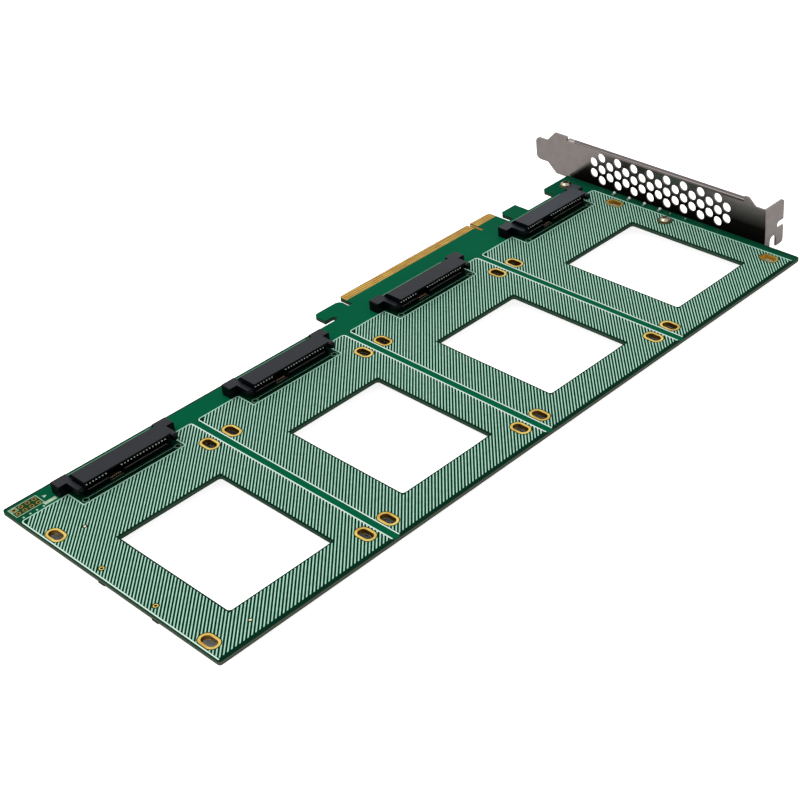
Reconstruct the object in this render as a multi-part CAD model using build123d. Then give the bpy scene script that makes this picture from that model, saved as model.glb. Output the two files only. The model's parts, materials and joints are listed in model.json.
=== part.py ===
"""Adapter card that carries four 2.5 inch drives in an x16 slot.

Frame: X runs across the card from the edge tongue (low X) to the free long edge,
Y runs along the card from its free end to the bracket, Z is up.
The origin is the bottom centre of the card's bounding box. Lengths are millimetres.
While the pieces are built, X and Y count from the drive slots' near row and the
middle of the bays, and the last step moves all of them to the origin.
"""

import os

from build123d import *

# Circuit board
board_thickness = 1.57
bay_count = 4
bay_pitch = 71.38
tongue_side_margin = 24.8
free_edge_margin = 9.1
free_end_margin = 34.65
bracket_end_margin = 38.5
board_corner_radius = 1.0

# Drive fixing slots: the side holes of a 2.5 inch drive
slot_row_spacing = 76.6
slot_pair_spacing = 61.72
slot_width = 3.4
slot_length = 6.1
pad_margin = 0.85
plating_wall = 0.1
pad_thickness = 0.05

# Windows under the drives
window_start = 16.3
window_length = 54.8
window_width = 41.0
window_shift = 1.6
window_corner_radius = 1.2

# Edge tongue, as the x16 card outline has it
tongue_reach = 11.9
key_position = 88.3
key_to_long_end = 72.15
key_to_short_end = 12.15
key_width = 1.9
key_depth = 8.25
tongue_corner = 1.4
bevel_length = 0.6
bevel_height = 0.3
contact_pitch = 1.0
contact_width = 0.7
contact_length = 4.1
key_to_contact = 1.5
long_contact_count = 71
short_contact_count = 11

# Retention hook and the tabs beside the bracket
hook_width = 13.2
hook_gap = 1.85
hook_reach = 9.3
hook_corner_radius = 2.2
hook_slot_width = 2.6
hook_slot_depth = 4.5
notch_setback = 3.8
narrow_tab_gap = 2.55
narrow_tab_width = 9.3
narrow_tab_reach = 7.7
tab_recess = 16.5
end_tab_reach = 7.4
tab_corner = 1.4

# Drive receptacles
connector_shift = 4.65
connector_front = 7.9
shell_setback = 0.2
post_half_span = 20.15
post_width = 2.05
post_bottom = 2.4
post_top = 4.2
post_length = 7.1
post_tip_length = 1.3
post_tip_drop = 0.5
ear_half_span = 23.45
ear_depth = 4.6
ear_chamfer = 0.3
shell_gap = 0.5
shell_height = 6.0
shell_thickness = 0.7
shell_corner_radius = 0.45
mouth_floor = 1.95
mouth_depth = 6.9
mouth_end_wall = 1.0
lip_setback = 1.2
key_zone_start = -7.5
key_zone_width = 5.3
key_zone_drop = 1.45
back_bevel_depth = 4.0
back_bevel_height = 3.3
peg_radius = 0.8
peg_clearance = 0.06

# Contacts inside a receptacle
receptacle_pitch = 1.27
power_contact_count = 15
power_contact_start = -2.1
signal_contact_count = 7
signal_contact_start = -16.1
fine_pitch = 0.8
fine_contact_count = 6
contact_bar_width = 0.45
contact_bar_height = 0.3
contact_bar_level = 3.45
contact_tip_setback = 1.5
fine_tip_setback = 2.2
foot_length = 1.3
foot_height = 0.25

# Bracket, folded from one sheet
sheet = 0.86
bend_radius = 0.3
board_to_bracket = 0.75
bracket_low = -1.35
bracket_width = 19.05
flange_drop = 3.1
flange_depth = 12.65
flange_fold = 68.8
tab_tip = 50.35
tab_low = 2.8
tab_width = 10.19
tab_root = 44.0
shoulder_root = 39.3
shoulder_end = 32.6
neck_start = 60.6
neck_length = 3.2
lip_level = 16.35
lip_reach = 2.1
lip_end = 58.6
vent_radius = 2.0
vent_pitch = 4.93
vent_columns = 17
vent_first = -18.1
vent_middle = 7.63
vent_top_lift = 0.45
fixing_slot_width = 4.3
fixing_slot_inset = 3.63
fixing_slot_top = 1.05
side_notch_width = 2.75
side_notch_depth = 4.3
side_notch_middle = 4.4
screw_tab_width = 9.0
screw_tab_reach = 12.5

# Bracket screws
screw_positions = (-26.9, 25.9)
screw_inset = 8.0
screw_radius = 1.45
screw_hole_clearance = 0.15
tab_hole_clearance = 0.05
screw_head_radius = 2.3
screw_head_height = 1.5
screw_tip_length = 0.8
cross_width = 0.6
cross_length = 2.6
cross_depth = 0.9
screw_pad_radius = 2.8

# Feet under the free end
foot_positions = (25.0, 52.0)
foot_inset = 3.3
foot_side = 2.9
foot_drop = 4.4
foot_chamfer = 0.5
foot_hole_radius = 0.5
foot_pin_length = 0.9
foot_pin_clearance = 0.03

# Header footprint and test points
header_columns = 4
header_rows = 2
header_pitch = 2.54
header_inset = 6.2
header_back_margin = 3.3
header_hole_radius = 0.5
header_pad_radius = 0.85
test_points = ((3.6, -129.5), (78.9, -124.5))
test_point_radius = 0.45
small_test_points = ((23.9, 144.3), (31.6, 144.3))
small_test_radius = 0.32

# Status lamps
lamp_count = 4
lamp_pitch = 8.0
lamp_first = -5.2
lamp_inset = 1.7
lamp_length = 2.2
lamp_width = 1.6
lamp_base_height = 0.5
lamp_dome_radius = 0.7

# White print
ink_thickness = 0.04
line_width = 0.45
field_low = 34.2
field_high = 34.7
field_back = 14.9
field_front_margin = 0.9
field_corner_radius = 1.4
silk_half_span = 20.5
silk_front = 6.15
silk_inner_gap = 2.1
silk_back = 23.7
silk_back_half_span = 19.0
hatch_pitch = 1.5
hatch_line = 0.42
hatch_offset = 0.65
hatch_gap = 0.08
hatch_window_margin = 0.55
hatch_slot_margin = 0.35
header_frame_length = 10.6
header_frame_width = 5.5
tick_length = 0.75
tick_width = 0.6
tick_drop = 1.6
corner_mark_side = 1.6
first_hole_frame = 2.3
patch_place = (-16.7, -128.7)
patch_length = 4.6
patch_width = 1.5
post_ring_place = (7.6, 18.7)
post_ring_radius = 1.2
fine_line_width = 0.22

# Worked out from the sizes above
board_low = foot_drop
board_top = board_low + board_thickness
back_x = -tongue_side_margin
front_x = slot_row_spacing + free_edge_margin
tongue_x = back_x - tongue_reach
first_bay = -(bay_count - 1) / 2 * bay_pitch
free_end_y = first_bay - free_end_margin
bracket_end_y = -first_bay + bracket_end_margin
bracket_y = bracket_end_y + board_to_bracket
flange_end_y = bracket_y + flange_depth
tongue_low_y = key_position - key_to_long_end
tongue_high_y = key_position + key_to_short_end
centre_x = (front_x - tab_tip) / 2
centre_y = (free_end_y + flange_end_y) / 2


def bays():
    """Give the middle of each bay along Y."""
    return [first_bay + i * bay_pitch for i in range(bay_count)]


def block(x, y, z):
    """Make a box from its (low, high) spans."""
    size = Box(x[1] - x[0], y[1] - y[0], z[1] - z[0])
    return Pos(sum(x) / 2, sum(y) / 2, sum(z) / 2) * size


def area(x, y, radius=0.0):
    """Make a flat rectangle from its (low, high) spans, with rounded corners if asked."""
    length = x[1] - x[0]
    width = y[1] - y[0]
    flat = RectangleRounded(length, width, radius) if radius else Rectangle(length, width)
    return Pos(sum(x) / 2, sum(y) / 2) * flat


def rise(flat, low, high):
    """Extrude a flat shape between two heights."""
    return Pos(0, 0, low) * extrude(flat, high - low)


def disc(x, y, radius):
    return Pos(x, y) * Circle(radius)


def slot_places(bay):
    """Give the four fixing slots' centres of one bay."""
    return [
        (x, bay + side * slot_pair_spacing / 2)
        for x in (0, slot_row_spacing)
        for side in (-1, 1)
    ]


def slot_shape(margin):
    """Make a race-track shape that is larger than the finished slot by a margin."""
    return SlotOverall(slot_length + 2 * margin, slot_width + 2 * margin)


def header_places():
    """Give the header holes' centres, row by row."""
    first_x = back_x + header_back_margin
    first_y = free_end_y + header_inset
    return [
        (first_x + row * header_pitch, first_y + (column - 1.5) * header_pitch)
        for row in range(header_rows)
        for column in range(header_columns)
    ]


def peg_places(bay):
    """Give a receptacle's two locating pegs."""
    x = -connector_front - post_length - ear_depth / 2
    middle = (ear_half_span + post_half_span - post_width) / 2
    return [(x, bay + connector_shift + side * middle) for side in (-1, 1)]


def screw_places():
    """Give the bracket screws' centres."""
    return [(x, bracket_y - screw_inset) for x in screw_positions]


def foot_places():
    """Give the feet's centres."""
    return [(x, free_end_y + foot_inset) for x in foot_positions]


def tongue_outline():
    """Draw the tongue with its cut corners and key notch."""
    root = back_x + board_corner_radius
    tongue = area((tongue_x, root), (tongue_low_y, tongue_high_y))
    outer = tongue.vertices().group_by(Axis.X)[0]
    tongue = chamfer(outer, tongue_corner)
    key = area((tongue_x - key_width, tongue_x + key_depth - key_width / 2),
               (key_position - key_width / 2, key_position + key_width / 2))
    return tongue - key - disc(tongue_x + key_depth - key_width / 2, key_position, key_width / 2)


def hook_outline():
    """Draw the retention hook, open towards the card's free end."""
    high_y = tongue_low_y - hook_gap
    low_y = high_y - hook_width
    root = back_x + board_corner_radius
    hook = area((back_x - hook_reach, root), (low_y, high_y))
    outer = hook.vertices().group_by(Axis.X)[0]
    hook = fillet(outer, hook_corner_radius)
    slot_middle = back_x - hook_slot_width / 2
    slot_end = low_y + hook_slot_depth - hook_slot_width / 2
    slot = area((slot_middle - hook_slot_width / 2, slot_middle + hook_slot_width / 2),
                (low_y - hook_slot_width, slot_end))
    return hook - slot - disc(slot_middle, slot_end, hook_slot_width / 2)


def tab_outline(low_y, high_y, reach):
    """Draw one tab of the tongue's edge with its low corner cut."""
    root = back_x + board_corner_radius
    tab = area((back_x - reach, root), (low_y, high_y))
    corner = tab.vertices().group_by(Axis.X)[0].sort_by(Axis.Y)[0]
    return chamfer(corner, tab_corner)


def board_outline():
    """Draw the board's outer line: body, tongue, hook and the two bracket-side tabs."""
    body = area((back_x, front_x), (free_end_y, bracket_end_y), board_corner_radius)
    narrow_low = tongue_high_y + narrow_tab_gap
    narrow_high = narrow_low + narrow_tab_width
    outline = body + tongue_outline() + hook_outline()
    outline += tab_outline(narrow_low, narrow_high, narrow_tab_reach)
    outline += tab_outline(narrow_high + tab_recess, bracket_end_y, end_tab_reach)
    outline += area((back_x, back_x + 2 * board_corner_radius),
                    (bracket_end_y - 2 * board_corner_radius, bracket_end_y))
    notch_low = tongue_low_y - hook_gap
    floor = back_x - notch_setback
    return outline + area((floor, back_x + board_corner_radius), (notch_low, tongue_low_y))


def window_outline(bay):
    """Draw one bay's window."""
    middle = bay + window_shift
    return area((window_start, window_start + window_length),
                (middle - window_width / 2, middle + window_width / 2), window_corner_radius)


def tongue_bevel():
    """Make the two wedges that bevel the tongue's outer edge."""
    section = Polygon((tongue_x, 0), (tongue_x + bevel_length, 0), (tongue_x, bevel_height), align=None)
    reach = tongue_high_y - tongue_low_y
    low = Pos(0, tongue_high_y, board_low) * extrude(Plane.XZ * section, reach)
    return low + mirror(low, Plane.XY.offset(board_low + board_thickness / 2))


def circuit_board():
    """Make the board with every window, slot and hole."""
    flat = board_outline()
    for bay in bays():
        flat -= window_outline(bay)
        for x, y in slot_places(bay):
            flat -= Pos(x, y) * slot_shape(plating_wall)
        for x, y in peg_places(bay):
            flat -= disc(x, y, peg_radius + peg_clearance)
    for x, y in header_places():
        flat -= disc(x, y, header_hole_radius + plating_wall)
    for x, y in foot_places():
        flat -= disc(x, y, foot_hole_radius + plating_wall)
    for x, y in screw_places():
        flat -= disc(x, y, screw_radius + screw_hole_clearance)
    return rise(flat, board_low, board_top) - tongue_bevel()


def edge_contact_offsets():
    """Give each finger's distance from the key notch along Y."""
    short = [key_to_contact + i * contact_pitch for i in range(short_contact_count)]
    long = [-key_to_contact - i * contact_pitch for i in range(long_contact_count)]
    return short + long


def edge_contacts(low):
    """Make one side's fingers, from the bevel inwards."""
    start = tongue_x + bevel_length
    return [
        block((start, start + contact_length),
              (key_position + y - contact_width / 2, key_position + y + contact_width / 2),
              (low, low + pad_thickness))
        for y in edge_contact_offsets()
    ]


def plated(hole, barrel, pad):
    """Make a plated hole: a thin barrel through the board and a pad ring on each face."""
    tube = rise(barrel - hole, board_low, board_top)
    upper = rise(pad - hole, board_top, board_top + pad_thickness)
    lower = rise(pad - hole, board_low - pad_thickness, board_low)
    return tube + upper + lower


def slot_plating(bay):
    """Make the plating of one bay's four slots."""
    lined = plated(slot_shape(0), slot_shape(plating_wall), slot_shape(pad_margin))
    return [Pos(x, y) * lined for x, y in slot_places(bay)]


def header_plating():
    """Make the plating of the header's holes."""
    lined = plated(Circle(header_hole_radius), Circle(header_hole_radius + plating_wall),
                   Circle(header_pad_radius))
    return [Pos(x, y) * lined for x, y in header_places()]


def foot_hole_plating():
    """Make the plating of the holes over the feet, with no pad below."""
    hole = Circle(foot_hole_radius)
    tube = rise(Circle(foot_hole_radius + plating_wall) - hole, board_low, board_top)
    pad = rise(Circle(header_pad_radius) - hole, board_top, board_top + pad_thickness)
    return [Pos(x, y) * (tube + pad) for x, y in foot_places()]


def screw_pads():
    """Make the plated rings under the bracket screws' heads."""
    ring = Circle(screw_pad_radius) - Circle(screw_radius + screw_hole_clearance)
    return [Pos(x, y) * rise(ring, board_top, board_top + pad_thickness) for x, y in screw_places()]


def test_pads():
    """Make the gold test points."""
    discs = [disc(x, y, test_point_radius) for x, y in test_points]
    discs += [disc(x, y, small_test_radius) for x, y in small_test_points]
    return [rise(flat, board_top, board_top + pad_thickness) for flat in discs]


def receptacle_section():
    """Draw the receptacle's middle in the XZ plane, with its mouth open towards +X."""
    back = -connector_front - post_length - ear_depth
    front = -connector_front - shell_setback
    ceiling = shell_height - shell_thickness
    return Polygon(
        (back, 0),
        (front - lip_setback, 0),
        (front - lip_setback, mouth_floor),
        (front - mouth_depth, mouth_floor),
        (front - mouth_depth, ceiling),
        (front, ceiling),
        (front, shell_height),
        (back + back_bevel_depth, shell_height),
        (back, shell_height - back_bevel_height),
        align=None,
    )


def receptacle_body():
    """Make the middle block with closed mouth ends and the wider key zone."""
    half = post_half_span - post_width - shell_gap
    front = -connector_front - shell_setback
    ceiling = shell_height - shell_thickness
    body = extrude(Plane.XZ * receptacle_section(), half, both=True)
    for side in (-1, 1):
        wall = sorted((side * half, side * (half - mouth_end_wall)))
        body += block((front - mouth_depth, front - lip_setback), wall, (mouth_floor, ceiling))
    corners = body.edges().filter_by(Axis.Z).group_by(Axis.X)[-1]
    body = fillet(corners, shell_corner_radius)
    key_zone = block((front - mouth_depth, front), (key_zone_start, key_zone_start + key_zone_width),
                     (mouth_floor - key_zone_drop, mouth_floor))
    return body - key_zone


def receptacle_end(side):
    """Make one end of the receptacle: its ear on the board and the guide post before it."""
    inner = side * (post_half_span - post_width)
    back = -connector_front - post_length - ear_depth
    ear = block((back, back + ear_depth), sorted((inner, side * ear_half_span)), (0, post_top))
    top_edges = ear.edges().group_by(Axis.Z)[-1].filter_by(Axis.X)
    outer = top_edges.sort_by(Axis.Y, reverse=side > 0)[0]
    ear = chamfer(outer, ear_chamfer)
    section = Polygon(
        (back + ear_depth, post_bottom), (-connector_front, post_bottom),
        (-connector_front, post_top - post_tip_drop), (-connector_front - post_tip_length, post_top),
        (back + ear_depth, post_top), align=None)
    post = Pos(0, max(inner, side * post_half_span)) * extrude(Plane.XZ * section, post_width)
    tip = post.edges().group_by(Axis.X)[-1].filter_by(Axis.Z)
    post = fillet(tip, post_width / 2.5)
    web = block((back, back + ear_depth), sorted((inner, side * (abs(inner) - shell_gap))), (0, post_top))
    return ear + post + web


def drive_receptacle(bay):
    """Make one moulded receptacle standing on the board."""
    housing = receptacle_body() + receptacle_end(-1) + receptacle_end(1)
    housing = Pos(0, bay + connector_shift, board_top) * housing
    for x, y in peg_places(bay):
        housing += rise(disc(x, y, peg_radius), board_low, board_top)
    return housing


def receptacle_contacts(bay):
    """Make one receptacle's contacts: bars in the mouth and solder feet behind the housing."""
    front = -connector_front - shell_setback
    deep = front - mouth_depth
    back = -connector_front - post_length - ear_depth
    middle = bay + connector_shift
    coarse = [power_contact_start + i * receptacle_pitch for i in range(power_contact_count)]
    coarse += [signal_contact_start + i * receptacle_pitch for i in range(signal_contact_count)]
    key_middle = key_zone_start + key_zone_width / 2
    fine = [key_middle + (i - (fine_contact_count - 1) / 2) * fine_pitch
            for i in range(fine_contact_count)]
    half = contact_bar_width / 2
    rows = (
        (coarse, (deep, front - contact_tip_setback), contact_bar_level, contact_bar_height),
        (fine, (deep, front - fine_tip_setback), mouth_floor - key_zone_drop, contact_bar_height),
        (coarse + fine, (back - foot_length, back), 0, foot_height),
    )
    return [
        block(reach, (middle + y - half, middle + y + half), (board_top + level, board_top + level + height))
        for places, reach, level, height in rows
        for y in places
    ]


def bracket_face():
    """Draw the bracket's flat face in the XZ plane, heights counted from the board's top."""
    high = bracket_low + bracket_width
    tab_high = tab_low + tab_width
    fold = flange_fold - sheet - bend_radius
    neck_end = neck_start + neck_length
    neck_low = high - flange_drop
    points = [
        (-tab_tip, tab_low), (-tab_root, tab_low), (-shoulder_root, bracket_low), (fold, bracket_low),
        (fold, neck_low), (neck_end, neck_low), (neck_start, high), (lip_end, high),
        (lip_end, lip_level - sheet - bend_radius),
        (-shoulder_end, lip_level - sheet - bend_radius),
        (-shoulder_end, high), (-shoulder_root, high), (-tab_root, tab_high), (-tab_tip, tab_high),
    ]
    face = Polygon(*points, align=None)
    tip = face.vertices().group_by(Axis.X)[0]
    face = fillet(tip, tab_width / 4.5)
    bends = [v for v in face.vertices()
             if abs(v.X - neck_end) < 0.01 or abs(v.X - neck_start) < 0.01 or abs(v.X + tab_root) < 0.01]
    return fillet(bends, neck_length / 3)


def vent_places():
    """Give the vent holes' centres, staggered columns of two and three."""
    step = vent_pitch * 3 ** 0.5 / 2
    places = []
    for column in range(vent_columns):
        x = vent_first + column * step
        if column % 2:
            places += [(x, vent_middle - vent_pitch), (x, vent_middle),
                       (x, vent_middle + vent_pitch + vent_top_lift)]
        else:
            places += [(x, vent_middle - vent_pitch / 2), (x, vent_middle + vent_pitch / 2)]
    return places


def bracket_main():
    """Make the flat perforated sheet."""
    face = bracket_face()
    for x, z in vent_places():
        face -= disc(x, z, vent_radius)
    return Pos(0, bracket_y, board_top) * extrude(Plane.XZ * face, -sheet)


def folded_strip(section, length):
    """Extrude a folded section, drawn in YZ, along X from zero."""
    return extrude(Plane.YZ * section, length)


def bend_section(middle_y, middle_z, sign_y, sign_z):
    """Draw a quarter ring of the sheet about a bend's middle, on the side the signs give."""
    ring = disc(middle_y, middle_z, bend_radius + sheet) - disc(middle_y, middle_z, bend_radius)
    reach = bend_radius + sheet
    return ring & area(sorted((middle_y, middle_y + sign_y * reach)),
                       sorted((middle_z, middle_z + sign_z * reach)))


def bracket_lip():
    """Make the stiffening lip, folded away from the board along the top edge."""
    middle_y = sheet + bend_radius
    middle_z = lip_level - sheet - bend_radius
    section = bend_section(middle_y, middle_z, -1, 1)
    section += area((middle_y, max(lip_reach, middle_y + 0.01)), (lip_level - sheet, lip_level))
    length = lip_end + shoulder_end
    return Pos(-shoulder_end, bracket_y, board_top) * folded_strip(section, length)


def screw_tab(x):
    """Make one tab, folded under the board, with its screw hole."""
    under = -board_thickness
    middle_y = -bend_radius
    middle_z = under + bend_radius
    section = bend_section(middle_y, middle_z, 1, -1)
    section += area((-screw_tab_reach, middle_y), (under - sheet, under))
    section += area((0, sheet), (middle_z, bracket_low))
    tab = Pos(x - screw_tab_width / 2, bracket_y, board_top) * folded_strip(section, screw_tab_width)
    hole = disc(x, bracket_y - screw_inset, screw_radius + tab_hole_clearance)
    return tab - rise(hole, board_low - 2 * sheet, board_low)


def flange_face():
    """Draw the flange in the YZ plane, from the bend outwards."""
    high = bracket_low + bracket_width - flange_drop
    low = high - bracket_width
    start = sheet + bend_radius
    face = area((start, flange_depth), (low, high))
    outer = face.vertices().group_by(Axis.X)[-1]
    face = fillet(outer, side_notch_width / 1.8)
    slot_y = fixing_slot_inset + fixing_slot_width / 2
    slot_z = fixing_slot_top - fixing_slot_width / 2
    face -= area((slot_y - fixing_slot_width / 2, slot_y + fixing_slot_width / 2), (low - 1, slot_z))
    face -= disc(slot_y, slot_z, fixing_slot_width / 2)
    notch_half = side_notch_width / 2
    notch_y = flange_depth - side_notch_depth + notch_half
    face -= area((notch_y, flange_depth + 1), (side_notch_middle - notch_half, side_notch_middle + notch_half))
    return face - disc(notch_y, side_notch_middle, notch_half)


def bracket_flange():
    """Make the flange and its bend at the end of the flat sheet."""
    flange = Pos(flange_fold - sheet, bracket_y, board_top) * extrude(Plane.YZ * flange_face(), sheet)
    middle_x = flange_fold - sheet - bend_radius
    middle_y = bracket_y + sheet + bend_radius
    reach = bend_radius + sheet
    ring = disc(middle_x, middle_y, reach) - disc(middle_x, middle_y, bend_radius)
    quarter = ring & area((middle_x, middle_x + reach), (middle_y - reach, middle_y))
    high = bracket_low + bracket_width - flange_drop
    return flange + rise(quarter, board_top + bracket_low, board_top + high)


def mounting_bracket():
    """Make the bracket as one folded sheet."""
    bracket = bracket_main() + bracket_lip() + bracket_flange()
    for x in screw_positions:
        bracket += screw_tab(x)
    return bracket


def bracket_screw(x, y):
    """Make one pan-head screw with a cross recess, seated on its pad."""
    seat = board_top + pad_thickness
    tip = board_low - sheet - screw_tip_length
    crown = screw_head_radius * 0.62
    profile = Polygon(
        (0, tip), (screw_radius * 0.7, tip), (screw_radius, tip + screw_radius * 0.3),
        (screw_radius, seat), (screw_head_radius, seat),
        (screw_head_radius, seat + screw_head_height * 0.45),
        (crown, seat + screw_head_height), (0, seat + screw_head_height), align=None)
    rim = profile.vertices().group_by(Axis.X)[-1].sort_by(Axis.Y)[-1]
    shoulder = profile.vertices().sort_by_distance((crown, seat + screw_head_height, 0))[0]
    screw = revolve(Plane.XZ * fillet([rim, shoulder], 0.5), Axis.Z)
    cross = Rectangle(cross_length, cross_width) + Rectangle(cross_width, cross_length)
    top = seat + screw_head_height
    return Pos(x, y) * (screw - rise(cross, top - cross_depth, top))


def board_foot(x, y):
    """Make one foot: a square post with a chamfered sole and a pin in the hole above."""
    half = foot_side / 2
    post = block((-half, half), (-half, half), (0, board_low))
    post = chamfer(post.edges().group_by(Axis.Z)[0], foot_chamfer)
    pin = rise(Circle(foot_hole_radius - foot_pin_clearance), board_low, board_low + foot_pin_length)
    return Pos(x, y) * (post + pin)


def status_lamp(x, y):
    """Make one clear lamp: a rectangular base and a domed lens."""
    half_length = lamp_length / 2
    half_width = lamp_width / 2
    base = block((-half_width, half_width), (-half_length, half_length), (0, lamp_base_height))
    lens = Pos(0, 0, lamp_base_height) * Sphere(lamp_dome_radius)
    lens = lens & block((-half_width, half_width), (-half_length, half_length), (0, lamp_length))
    return Pos(x, y, board_top) * (base + lens)


def lamp_places():
    """Give the lamps' centres beside the bracket."""
    y = bracket_end_y - lamp_inset
    return [(lamp_first + i * lamp_pitch, y) for i in range(lamp_count)]


def field_outline(bay):
    """Draw the printed field of one bay, with its recess at the receptacle."""
    field = area((-field_back, front_x - field_front_margin), (bay - field_low, bay + field_high),
                 field_corner_radius)
    square = area((front_x - field_front_margin - 2 * field_corner_radius, front_x - field_front_margin),
                  (bay - field_low, bay + field_high))
    middle = bay + connector_shift
    recess = area((-field_back - 1, -silk_front), (middle - silk_half_span, middle + silk_half_span))
    return field + square - recess


def bare_pads():
    """Give the round pads that the print keeps clear of, as (x, y, radius)."""
    pads = [(x, y, screw_pad_radius) for x, y in screw_places()]
    pads += [(x, y, header_pad_radius) for x, y in foot_places()]
    return pads + [(x, y, test_point_radius) for x, y in test_points]


def hatched_ground(bay):
    """Draw the part of one field that is hatched, clear of the window, slots and screws."""
    ground = offset(field_outline(bay), -line_width - hatch_gap, kind=Kind.INTERSECTION)
    middle = bay + window_shift
    half = window_width / 2 + hatch_window_margin
    ground -= area((window_start - hatch_window_margin, window_start + window_length + hatch_window_margin),
                   (middle - half, middle + half))
    for x, y in slot_places(bay):
        ground -= Pos(x, y) * slot_shape(pad_margin + hatch_slot_margin)
    for x, y, radius in bare_pads():
        ground -= disc(x, y, radius + line_width)
    return ground


def hatching(bay):
    """Make one field's slanting lines, each clipped to the hatched ground."""
    ground = hatched_ground(bay)
    low = ground.bounding_box().min
    high = ground.bounding_box().max
    reach = high.X - low.X + high.Y - low.Y
    middle_x = slot_row_spacing / 2
    steps = int(reach / 2 / hatch_pitch) + 1
    lines = []
    for step in range(-steps, steps + 1):
        along = (hatch_offset + step * hatch_pitch) / 2
        strip = Pos(middle_x + along, bay + along) * Rot(0, 0, 135) * Rectangle(reach, hatch_line)
        clipped = ground & strip
        lines += [rise(face, board_top, board_top + ink_thickness) for face in clipped.faces()] if clipped else []
    return lines


def bay_marking(bay):
    """Make the printed frame of one bay: its outline and the receptacle's front and back lines."""
    field = field_outline(bay)
    frame = field - offset(field, -line_width, kind=Kind.INTERSECTION)
    front_strip = area((front_x - field_front_margin - line_width, front_x),
                       (bay - field_low + line_width, bay + field_high - line_width))
    middle = bay + connector_shift
    inner = -silk_front - silk_inner_gap
    span = post_half_span - post_width
    front_line = area((inner, inner + fine_line_width), (middle - span, middle + span))
    back_line = area((-silk_back, -silk_back + fine_line_width),
                     (middle - silk_back_half_span, middle + silk_back_half_span))
    lines = frame - front_strip + front_line + back_line
    ring = Circle(post_ring_radius) - Circle(post_ring_radius - fine_line_width)
    for side in (-1, 1):
        lines += Pos(-post_ring_place[0], middle + side * post_ring_place[1]) * ring
    for x, y, radius in bare_pads():
        lines -= disc(x, y, radius + line_width)
    return rise(lines, board_top, board_top + ink_thickness)


def header_marking():
    """Make the header's printed frames, its four ticks, the corner mark and the plain patch."""
    places = header_places()
    middle_x = sum(x for x, _ in places) / len(places)
    middle_y = sum(y for _, y in places) / len(places)
    outer = Rectangle(header_frame_width, header_frame_length)
    inner = Rectangle(header_frame_width - line_width, header_frame_length - line_width)
    marks = Pos(middle_x, middle_y) * (outer - inner)
    first = Rectangle(first_hole_frame, first_hole_frame)
    first -= Rectangle(first_hole_frame - line_width, first_hole_frame - line_width)
    marks += Pos(*places[0]) * first
    marks += Pos(*patch_place) * Rectangle(patch_width, patch_length)
    tick_x = middle_x + header_frame_width / 2 + tick_drop
    for _, y in places[:header_columns]:
        marks += Pos(tick_x, y) * Rectangle(tick_length, tick_width)
    corner_y = middle_y + header_frame_length / 2 + corner_mark_side
    corner = Triangle(a=corner_mark_side, b=corner_mark_side, c=corner_mark_side)
    marks += Pos(middle_x, corner_y) * corner
    return rise(marks, board_top, board_top + ink_thickness)


def save(name, *shapes):
    """Move the shapes to the card's origin and write them as one named sub-part."""
    solids = [solid for shape in shapes for solid in shape.solids()]
    moved = [Pos(-centre_x, -centre_y, 0) * solid for solid in solids]
    export_step(Compound(moved) if len(moved) > 1 else moved[0], f"parts/{name}.step")


def main():
    os.makedirs("parts", exist_ok=True)
    save("circuit_board", circuit_board())
    save("edge_contacts_top", *edge_contacts(board_top))
    save("edge_contacts_bottom", *edge_contacts(board_low - pad_thickness))
    for number, bay in enumerate(bays(), 1):
        save(f"drive_receptacle_{number}", drive_receptacle(bay))
        save(f"receptacle_contacts_{number}", *receptacle_contacts(bay))
        save(f"slot_plating_{number}", *slot_plating(bay))
        save(f"bay_marking_{number}", bay_marking(bay), *hatching(bay))
    save("mounting_bracket", mounting_bracket())
    for number, (x, y) in enumerate(screw_places(), 1):
        save(f"bracket_screw_{number}", bracket_screw(x, y))
    for number, (x, y) in enumerate(lamp_places(), 1):
        save(f"status_lamp_{number}", status_lamp(x, y))
    for number, (x, y) in enumerate(foot_places(), 1):
        save(f"board_foot_{number}", board_foot(x, y))
    save("header_plating", *header_plating())
    save("foot_hole_plating", *foot_hole_plating())
    save("screw_pads", *screw_pads())
    save("test_pads", *test_pads())
    save("header_marking", header_marking())


main()
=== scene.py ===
"""Looks of the drive adapter card: finishes, solder, lamps, screw threads, studio and camera.

Everything is in metres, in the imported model's own frame: X from the edge tongue to the free
long edge, Y from the free end to the bracket, Z up. Sizes in the classes are millimetres, and
their colours are a display's red, green and blue, from 0 to 255.
"""

from __future__ import annotations

import json
import logging
import math
from dataclasses import dataclass, field
from enum import Enum
from typing import Any, Sequence

import bpy
import numpy as np
from bpy.types import ID, Material, Node, NodeSocket, NodeTree, Object
from mathutils import Matrix, Vector


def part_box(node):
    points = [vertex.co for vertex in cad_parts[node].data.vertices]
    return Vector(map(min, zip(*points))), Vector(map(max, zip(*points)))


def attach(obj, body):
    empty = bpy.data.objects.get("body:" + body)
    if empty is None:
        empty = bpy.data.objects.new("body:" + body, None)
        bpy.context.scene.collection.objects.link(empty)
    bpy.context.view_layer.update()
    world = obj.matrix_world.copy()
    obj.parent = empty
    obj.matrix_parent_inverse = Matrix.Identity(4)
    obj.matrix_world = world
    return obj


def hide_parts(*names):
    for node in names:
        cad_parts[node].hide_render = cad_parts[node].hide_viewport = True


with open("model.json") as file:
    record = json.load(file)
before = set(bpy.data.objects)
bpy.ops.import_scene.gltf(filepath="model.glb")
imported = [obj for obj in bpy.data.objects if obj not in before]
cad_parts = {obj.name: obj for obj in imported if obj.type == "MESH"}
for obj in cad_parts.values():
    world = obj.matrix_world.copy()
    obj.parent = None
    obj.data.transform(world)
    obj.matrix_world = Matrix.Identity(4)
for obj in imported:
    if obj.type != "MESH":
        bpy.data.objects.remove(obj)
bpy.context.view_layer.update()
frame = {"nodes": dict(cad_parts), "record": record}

MM = 0.001
BODY = "root"
PHOTO_SIDE = 800
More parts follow.
